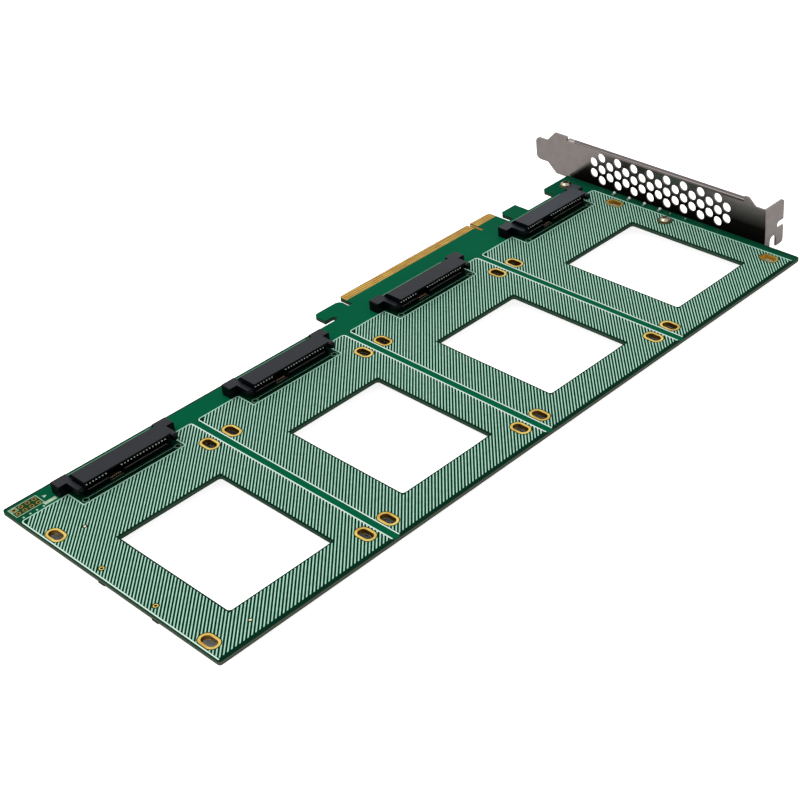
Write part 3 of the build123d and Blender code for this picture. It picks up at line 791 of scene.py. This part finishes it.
def build_finishes(layout: BayLayout, effects: Effects) -> dict[str, Material]:
    """Build every material of the card once, and give them by their names."""
    finishes = (
        SolderMask("solder_mask", layout),
        Gold("gold_plate"),
        Gold("edge_gold", (228, 174, 76), (192, 138, 46)),
        Gold("test_gold", (250, 240, 190), (236, 220, 160), 0.4, 0.4, bracket_tone=(186, 208, 190)),
        Gold("ring_gold", bracket_tone=(112, 96, 44)),
        Gold("header_gold", (152, 130, 46), (116, 98, 30), 0.45, 0.3, (58, 50, 18)),
        ContactMetal("contact_metal"),
        SheetMetal("bracket_steel", sheen=Sheen()),
        SheetMetal("screw_steel", (168, 160, 142), (118, 110, 92), 0.18),
        SheetMetal("solder", (196, 198, 200), (168, 170, 172), 0.3),
        MouldedPlastic("connector_plastic", (7, 10, 18), (14, 18, 29), gloss=0.22, tops=(4.2, 6.0)),
        # painted highlight along the receptacles' lower walls
        MouldedPlastic("worn_edge", (80, 77, 74), (98, 94, 90), 0.3),
        MouldedPlastic("foot_plastic", (20, 20, 22), (30, 30, 33), 0.5),
        MouldedPlastic("lamp_ceramic", (52, 88, 70), (66, 102, 84), 0.5),
        ClearResin("clear_resin"),
        ScreenInk("white_ink", layout),
        ScreenInk("header_ink", layout, (184, 212, 182), (146, 180, 150), back_line=-60.0),
    )
    return {finish.name: finish.build(effects) for finish in finishes}


def tube_faces(first: int, rows: int, spokes: int) -> list[list[int]]:
    """Give the four-sided faces between rows of corners that each go once round.

    Args:
        first: The number of the first row's first corner.
        rows: How many rows there are.
        spokes: How many corners a row has.

    Returns:
        The corner numbers of each face.
    """
    ring = np.arange(spokes)
    after = (ring + 1) % spokes
    start = first + np.arange(rows - 1)[:, None] * spokes
    corners = [start + ring, start + spokes + ring, start + spokes + after, start + after]
    return np.stack(corners, 2).reshape(-1, 4).tolist()


def new_object(name: str, data: ID) -> Object:
    """Make an object of its data and put it in the scene."""
    made = bpy.data.objects.new(name, data)
    bpy.context.scene.collection.objects.link(made)
    return made


@dataclass
class Shell:
    """A closed surface: its points, in millimetres, and its faces' corner numbers."""

    points: np.ndarray
    faces: list[list[int]]

    @classmethod
    def from_rows(cls, first: Sequence[float], grid: np.ndarray, last: Sequence[float]) -> Shell:
        """Close a grid of rows, each once round, with a pole at either end.

        Args:
            first: The first pole.
            grid: The rows' points, by row and by place round the row.
            last: The last pole.

        Returns:
            The closed surface, with its faces outwards where the rows turn from X to Y.
        """
        rows, spokes, _ = grid.shape
        ring = np.arange(spokes)
        after = (ring + 1) % spokes
        last_row = 1 + (rows - 1) * spokes
        top = np.stack([0 * ring, 1 + ring, 1 + after], 1).tolist()
        bottom = np.stack([last_row + ring, last_row + spokes + 0 * ring, last_row + after], 1).tolist()
        points = np.vstack([[first], grid.reshape(-1, 3), [last]])
        return cls(points, top + tube_faces(1, rows, spokes) + bottom)

    @classmethod
    def joined(cls, shells: Sequence[Shell]) -> Shell:
        """Join shells into one, their corners numbered on."""
        faces, count = [], 0
        for shell in shells:
            faces += [[corner + count for corner in face] for face in shell.faces]
            count += len(shell.points)
        return cls(np.vstack([shell.points for shell in shells]), faces)

    def moved(self, place: Sequence[float]) -> Shell:
        """Give the shell moved to a place."""
        return Shell(self.points + np.asarray(place), self.faces)

    def put(self, name: str, material: Material, slot: Slot) -> Object:
        """Make a piece of the card from the shell, and set it on the card.

        Args:
            name: The piece's name.
            material: The finish.
            slot: The record's slot that the finish belongs to; it is not used.

        Returns:
            The piece.
        """
        mesh = bpy.data.meshes.new(name)
        mesh.from_pydata((self.points * MM).tolist(), [], self.faces)
        mesh.materials.append(material)
        mesh.polygons.foreach_set("use_smooth", np.full(len(mesh.polygons), True))
        mesh.update()
        piece = new_object(name, mesh)
        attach(piece, BODY)
        log.info("%s: %d faces", name, len(self.faces))
        return piece


def once_round(spokes: int) -> np.ndarray:
    """Give the angles of the spokes of a row."""
    return np.linspace(0, math.tau, spokes, endpoint=False)[None, :]


def cap_shell(half: Pair, height: float, power: float, u: np.ndarray, spokes: int) -> Shell:
    """Work out a flat-bottomed cap.

    With u outwards to 1 and v once round, a point is (half x u cos v, half y u sin v, and the
    height times 1 less u squared to the power), and the last pole closes the flat bottom.

    Args:
        half: Half the cap's length and width.
        height: Its height at the middle.
        power: 1 gives a bead, and 0.5 a round dome.
        u: The rows' places outwards.
        spokes: How many points a row has.

    Returns:
        The cap.
    """
    u = u[:, None]
    v = once_round(spokes)
    rise = height * np.clip(1 - u ** 2, 0, 1) ** power
    grid = np.stack([half[0] * u * np.cos(v), half[1] * u * np.sin(v), rise + 0 * v], 2)
    return Shell.from_rows([0, 0, height], grid, [0, 0, 0])


def pillow_shell(half: Sequence[float], squareness: float = 0.25, rows: int = 9, spokes: int = 20) -> Shell:
    """Work out a block with rounded edges: a sphere's grid with its sines and cosines flattened.

    With s(w) the sign of w times its size to the power of the squareness, a point at latitude a
    and longitude b is (s(cos a) s(cos b), s(cos a) s(sin b), s(sin a)) times the half sizes.

    Args:
        half: The block's half sizes along X, Y and Z.
        squareness: 1 gives an ellipsoid, and a smaller number a squarer block.
        rows, spokes: How finely it is divided.

    Returns:
        The block.
    """
    latitude = np.linspace(math.pi / 2, -math.pi / 2, rows + 2)[1:-1, None]
    waves = np.cos(latitude), np.sin(latitude), np.cos(once_round(spokes)), np.sin(once_round(spokes))
    around, up, cos_b, sin_b = (np.sign(wave) * np.abs(wave) ** squareness for wave in waves)
    grid = np.stack([around * cos_b, around * sin_b, up + 0 * cos_b], 2) * np.asarray(half)
    return Shell.from_rows([0, 0, half[2]], grid, [0, 0, -half[2]])


def numbers_of(stem: str) -> list[int]:
    """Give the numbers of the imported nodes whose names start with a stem."""
    return sorted(int(name.rsplit("_", 1)[1]) for name in frame["nodes"] if name.startswith(stem))


def paint(node: str, material: Material) -> None:
    """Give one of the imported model's nodes a material."""
    mesh = frame["nodes"][node].data
    mesh.materials.clear()
    mesh.materials.append(material)
    log.info("%s: %s", node, material.name)


@dataclass
class Receptacles:
    """The drive receptacles: plastic, contacts, the solder at their feet and a pale strip along each lower
    wall's edge, a painted highlight.

    The methods that make pieces take a receptacle's number and its middle along Y.
    """

    layout: BayLayout
    finishes: dict[str, Material]
    pitch: float = 1.27
    feet: tuple[tuple[float, int], ...] = ((-16.1, 7), (-2.1, 15))
    bead_half: Pair = (0.55, 0.36)
    bead_height: float = 0.24
    bead_rows: int = 4
    bead_spokes: int = 12
    bead_setback: float = 0.75
    lip_place: float = -9.3
    lip_stretches: Sequence[Sequence[float]] = ((-16.5, -7.5, 1.95), (-7.5, -2.2, 0.5), (-2.2, 16.5, 1.95))
    lip_thickness: float = 0.24
    lip_sink: float = 0.6
    lip_squareness: float = 0.5

    def solder(self, number: int, middle: float) -> None:
        """Make one receptacle's solder beads, one for each contact's foot behind the housing."""
        offsets = np.concatenate([start + self.pitch * np.arange(count) for start, count in self.feet])
        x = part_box(f"receptacle_contacts_{number}")[0].x / MM + self.bead_setback - self.bead_half[0]
        rows = np.linspace(0, 1, self.bead_rows + 1)[1:]
        bead = cap_shell(self.bead_half, self.bead_height, 1.0, rows, self.bead_spokes)
        row = Shell.joined([bead.moved((x, middle + offset, BOARD_HIGH.z)) for offset in offsets])
        row.put(f"foot_solder_{number}", self.finishes["solder"], Slot.CONTACT)

    def lip_highlight(self, number: int, middle: float) -> None:
        """Make the pale strip along the top of one receptacle's lower wall, a painted highlight."""
        half = self.lip_thickness / 2
        sunk = half * self.lip_sink
        x = self.layout.near_row + self.lip_place - sunk
        blocks = []
        for start, end, level in self.lip_stretches:
            block = pillow_shell((half, (end - start) / 2, half), self.lip_squareness)
            blocks.append(block.moved((x, middle + (start + end) / 2, BOARD_HIGH.z + level - sunk)))
        Shell.joined(blocks).put(f"lip_highlight_{number}", self.finishes["worn_edge"], Slot.HOUSING)

    def dress(self) -> None:
        """Give every receptacle its finishes, its solder and its painted highlight strip."""
        for number, bay_y in enumerate(self.layout.centres(), 1):
            paint(f"drive_receptacle_{number}", self.finishes["connector_plastic"])
            paint(f"receptacle_contacts_{number}", self.finishes["contact_metal"])
            self.solder(number, bay_y + self.layout.connector_shift)
            self.lip_highlight(number, bay_y + self.layout.connector_shift)


@dataclass
class Lamps:
    """The small clear lamps beside the bracket: ceramic base, two soldered ends and a lens."""

    finishes: dict[str, Material]
    base_height: float = 0.5
    base_margin: float = 0.04
    base_squareness: float = 0.18
    end_length: float = 0.5
    end_share: float = 0.6
    lens_rows: int = 8
    lens_spokes: int = 28
    lens_radius: float = 0.66
    lens_sink: float = 0.2
    lens_shift: float = 0.25

    def build(self, number: int) -> None:
        """Make one lamp in the room of its solid."""
        node = f"status_lamp_{number}"
        low, high = (np.array(corner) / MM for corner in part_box(node))
        middle = np.array([*(low + high)[:2] / 2, low[2]])
        half = np.array([*(high - low)[:2], self.base_height]) / 2
        base = pillow_shell(half - [self.base_margin, self.end_length / 3, 0], self.base_squareness)
        base = base.moved(middle + [0, 0, half[2]])
        body = base.put(f"lamp_base_{number}", self.finishes["lamp_ceramic"], Slot.LAMP)
        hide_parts(node)
        lens_low = self.base_height - self.lens_sink
        rows = np.sin(np.linspace(0, math.pi / 2, self.lens_rows + 1))[1:]
        lens = cap_shell((self.lens_radius,) * 2, high[2] - low[2] - lens_low, 0.5, rows, self.lens_spokes)
        lens = lens.moved(middle + [0, self.lens_shift, lens_low])
        lens.put(f"lamp_lens_{number}", self.finishes["clear_resin"], Slot.LAMP)
        end_half = np.array([half[0] * self.end_share, self.end_length / 2, half[2] * self.end_share])
        reach = half[1] - end_half[1]
        ends = [pillow_shell(end_half).moved(middle + [0, side * reach, end_half[2]]) for side in (-1, 1)]
        Shell.joined(ends).put(f"lamp_ends_{number}", self.finishes["solder"], Slot.SCREW)

    def dress(self) -> None:
        """Make every lamp."""
        for number in numbers_of("status_lamp_"):
            self.build(number)


@dataclass
class Fasteners:
    """The two bracket screws, with the thread that shows below the bracket's tabs."""

    finishes: dict[str, Material]
    pitch: float = 0.5
    root_radius: float = 1.35
    crest_radius: float = 1.45
    ridge: float = 0.05
    thin_end: float = 0.05
    gap_share: float = 0.35
    steps: int = 24
    tab_sheet: float = 0.86

    def thread(self, number: int) -> None:
        """Make one screw's thread: a three-sided ridge carried along a helix.

        With t once round each turn, the ridge's middle is (r cos t, r sin t, pitch t / one turn),
        and its ends run out into the shank.
        """
        low, high = (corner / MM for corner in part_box(f"bracket_screw_{number}"))
        room = BOARD_LOW.z - self.tab_sheet - low.z - self.pitch
        turns = max(room / self.pitch, 1.0)
        count = int(self.steps * turns) + 1
        t = np.linspace(0, math.tau * turns, count)
        crest = self.crest_radius + self.ridge * np.clip(np.minimum(t, t[-1] - t), self.thin_end, 1.0)
        rise_z = low.z + self.pitch / 2 + self.pitch * t / math.tau
        gap = self.pitch * self.gap_share
        profile = [(self.root_radius, -gap), (crest, 0.0), (self.root_radius, gap)]
        rings = np.stack([np.stack([r * np.cos(t), r * np.sin(t), rise_z + dz], 1) for r, dz in profile], 1)
        faces = tube_faces(0, count, 3) + [[0, 1, 2], [3 * count - 1, 3 * count - 2, 3 * count - 3]]
        thread = Shell(rings.reshape(-1, 3), faces).moved([(low.x + high.x) / 2, (low.y + high.y) / 2, 0.0])
        thread.put(f"screw_thread_{number}", self.finishes["screw_steel"], Slot.SCREW)

    def dress(self) -> None:
        """Give both screws their finish and thread."""
        for number in numbers_of("bracket_screw_"):
            paint(f"bracket_screw_{number}", self.finishes["screw_steel"])
            self.thread(number)


@dataclass
class Board:
    """The circuit board with its plating, feet and print."""

    finishes: dict[str, Material]
    names: tuple[tuple[str, str], ...] = (
        ("circuit_board", "solder_mask"),
        ("slot_plating", "gold_plate"),
        ("foot_hole_plating", "gold_plate"),
        ("edge_contacts", "edge_gold"),
        ("header_plating", "header_gold"),
        ("screw_pads", "ring_gold"),
        ("test_pads", "test_gold"),
        ("bay_marking", "white_ink"),
        ("header_marking", "header_ink"),
        ("board_foot", "foot_plastic"),
    )

    def dress(self) -> None:
        """Give each of these nodes the finish that goes with the start of its name."""
        for stem, finish in self.names:
            for node in sorted(frame["nodes"]):
                if node.startswith(stem):
                    paint(node, self.finishes[finish])


@dataclass
class Bracket:
    """The perforated mounting bracket."""

    finishes: dict[str, Material]

    def dress(self) -> None:
        """Give the bracket its finish."""
        paint("mounting_bracket", self.finishes["bracket_steel"])


@dataclass
class Studio:
    """A pale floor, a soft sky and two large soft lamps."""

    floor_paint: Material
    floor_size: float = 6.0
    sky_strength: float = 0.62
    backdrop_strength: float = 1.0
    lamp_glint: float = 0.4

    def floor(self) -> None:
        """Lay the floor under the card."""
        half = self.floor_size / 2
        mesh = bpy.data.meshes.new("floor")
        corners = [(-half, -half, 0), (half, -half, 0), (half, half, 0), (-half, half, 0)]
        mesh.from_pydata(corners, [], [(0, 1, 2, 3)])
        mesh.materials.append(self.floor_paint)
        floor = new_object("floor", mesh)

    def sky(self) -> None:
        """Light the scene evenly, and show white behind it and in what is glossy."""
        world = bpy.data.worlds.new("soft_sky")
        bpy.context.scene.world = world
        world.use_nodes = True
        tree = Tree(world.node_tree)
        path = tree.add("ShaderNodeLightPath")
        shown = tree.maths("MAXIMUM", path.outputs["Is Camera Ray"], path.outputs["Is Glossy Ray"])
        shown = tree.maths("MAXIMUM", shown, path.outputs["Is Transmission Ray"])
        strength = tree.span(shown, 0.0, 1.0, self.sky_strength, self.backdrop_strength)
        tree.feed_all(world.node_tree.nodes["Background"], Color=(1, 1, 1, 1), Strength=strength)

    def lamp(self, name: str, place: Sequence[float], size: float, power: float) -> None:
        """Hang one square lamp that faces the card.

        Args:
            name: The lamp's name.
            place: Where it hangs, in metres.
            size: Its side, in metres.
            power: Its power in watts.
        """
        data = bpy.data.lights.new(name, "AREA")
        data.size = size
        data.energy = power
        data.specular_factor = self.lamp_glint
        lamp = new_object(name, data)
        lamp.location = place
        lamp.rotation_euler = (-Vector(place)).to_track_quat("-Z", "Y").to_euler()

    def build(self) -> None:
        """Set up the floor, the sky and the lamps."""
        self.floor()
        self.sky()
        self.lamp("key_lamp", place=(-0.6, -0.5, 1.7), size=1.3, power=15.0)
        self.lamp("fill_lamp", place=(1.4, -1.2, 1.0), size=1.2, power=1.5)


@dataclass(frozen=True)
class PhotoCamera:
    """The photograph's camera: where it stands, how it leans and what it takes in."""

    layout: BayLayout
    azimuth: float = 45.07
    elevation: float = 34.396
    roll: float = -4.12
    distance: float = 556.687
    target_past_slots: Pair = (59.844, 2.949)
    focal_pixels: float = 1622.309
    centre_pixel: Pair = (499.522, 400.16)
    sensor: float = 36.0

    def axes(self) -> tuple[Vector, Vector, Vector]:
        """Give the camera's right, up and back directions, leaning by the roll about the view."""
        az, el, roll = (math.radians(angle) for angle in (self.azimuth, self.elevation, self.roll))
        back = Vector((math.sin(az) * math.cos(el), -math.cos(az) * math.cos(el), math.sin(el)))
        level = Vector((0, 0, 1)).cross(back).normalized()
        top = back.cross(level)
        right = math.cos(roll) * level + math.sin(roll) * top
        up = math.cos(roll) * top - math.sin(roll) * level
        return right, up, back

    def position(self) -> Vector:
        """Work out the camera's place in millimetres, counted from the drive bays."""
        past_x, past_y = self.target_past_slots
        middle_y = (self.layout.first_y + self.layout.last_y) / 2
        target = Vector((self.layout.near_row + past_x, middle_y + past_y, BOARD_HIGH.z))
        return target + self.axes()[2] * self.distance

    def stand(self) -> None:
        """Stand the camera in the scene."""
        data = bpy.data.cameras.new("photo_camera")
        data.sensor_width = self.sensor
        data.lens = self.focal_pixels * self.sensor / PHOTO_SIDE
        data.shift_x = (PHOTO_SIDE / 2 - self.centre_pixel[0]) / PHOTO_SIDE
        data.shift_y = (self.centre_pixel[1] - PHOTO_SIDE / 2) / PHOTO_SIDE
        data.clip_start = 0.01
        data.clip_end = 20.0
        camera = new_object("photo_camera", data)
        turn = Matrix(self.axes()).transposed().to_4x4()
        camera.matrix_world = Matrix.Translation(self.position() * MM) @ turn
        bpy.context.scene.camera = camera


def main() -> None:
    """Dress the card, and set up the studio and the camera."""
    logging.basicConfig(level=logging.INFO, format="%(name)s %(message)s")
    bpy.context.scene.view_settings.view_transform = "Standard"
    layout = BayLayout.from_record()
    effects = Effects()
    finishes = build_finishes(layout, effects)
    Board(finishes).dress()
    Bracket(finishes).dress()
    Receptacles(layout, finishes).dress()
    Fasteners(finishes).dress()
    Lamps(finishes).dress()
    camera = PhotoCamera(layout)
    Studio(PaleFloor("pale_floor", layout, camera.position()).build(effects)).build()
    camera.stand()


if __name__ == "__main__":
    main()
